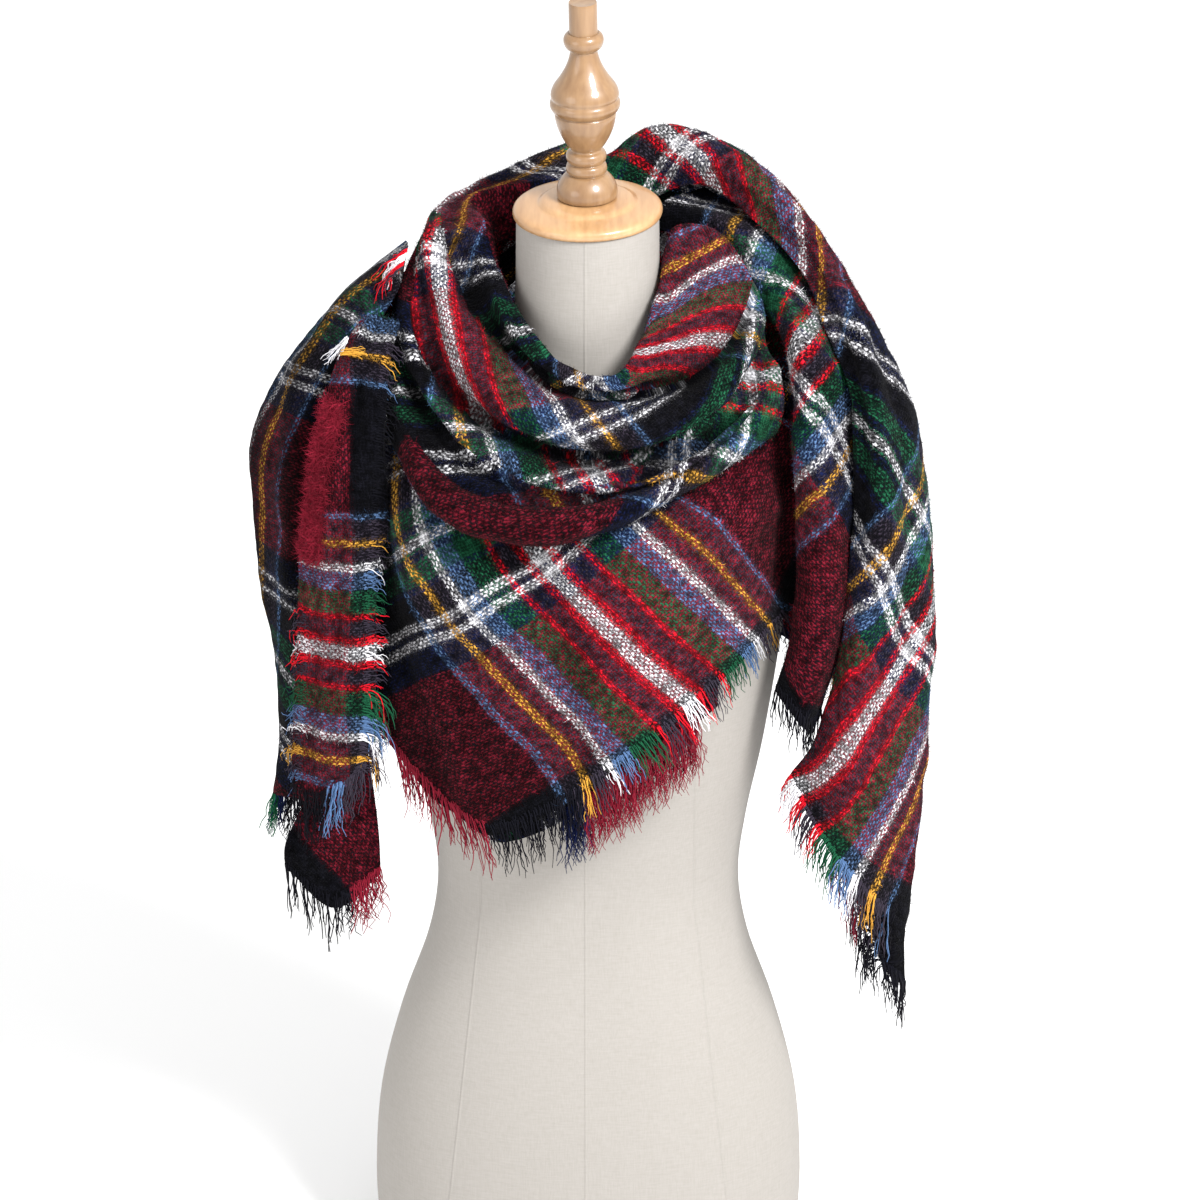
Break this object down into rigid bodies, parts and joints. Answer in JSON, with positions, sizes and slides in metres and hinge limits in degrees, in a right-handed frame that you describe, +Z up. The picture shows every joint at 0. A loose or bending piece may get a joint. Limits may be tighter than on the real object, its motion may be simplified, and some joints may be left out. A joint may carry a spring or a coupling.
{
  "type": "blanket scarf on dress form",
  "caption": "Plaid fringed blanket scarf folded to a triangle, wound in cowl folds with hanging ends, on a limbless dress form with a turned finial.",
  "frame": {"origin": "centre of the dress form's flat base, on the plane it stands on", "axes": "+Z up, -Y towards the front of the wearer, +X towards the wearer's left"},
  "size_m": [0.5233, 0.3494, 1.0389],
  "materials": {
    "form_linen": "fine matt plain weave",
    "turned_wood": "clear gloss varnish",
    "plaid_cloth": "brushed loose plain weave",
    "fringe_yarn": "loose soft yarn"
  },
  "bodies": {
    "root": {"dress_form": "form_linen", "neck_cap": "turned_wood", "finial": "turned_wood", "scarf_cowl": "plaid_cloth", "scarf_point_top": "plaid_cloth", "scarf_point_under": "plaid_cloth", "scarf_right_outer": "plaid_cloth", "scarf_right_inner": "plaid_cloth", "scarf_right_under": "plaid_cloth", "scarf_left_outer": "plaid_cloth", "scarf_left_front": "plaid_cloth", "scarf_left_under": "plaid_cloth", "scarf_back_over": "plaid_cloth", "scarf_back_under": "plaid_cloth", "fringe_point_hem": "fringe_yarn", "fringe_point_side": "fringe_yarn", "fringe_point_under": "fringe_yarn", "fringe_right_outer": "fringe_yarn", "fringe_right_inner": "fringe_yarn", "fringe_right_under": "fringe_yarn", "fringe_left_outer": "fringe_yarn", "fringe_shoulder": "fringe_yarn", "fringe_left_front": "fringe_yarn", "fringe_left_side": "fringe_yarn", "fringe_left_under": "fringe_yarn", "fringe_back_over": "fringe_yarn", "fringe_back_under": "fringe_yarn"}
  },
  "joints": []
}
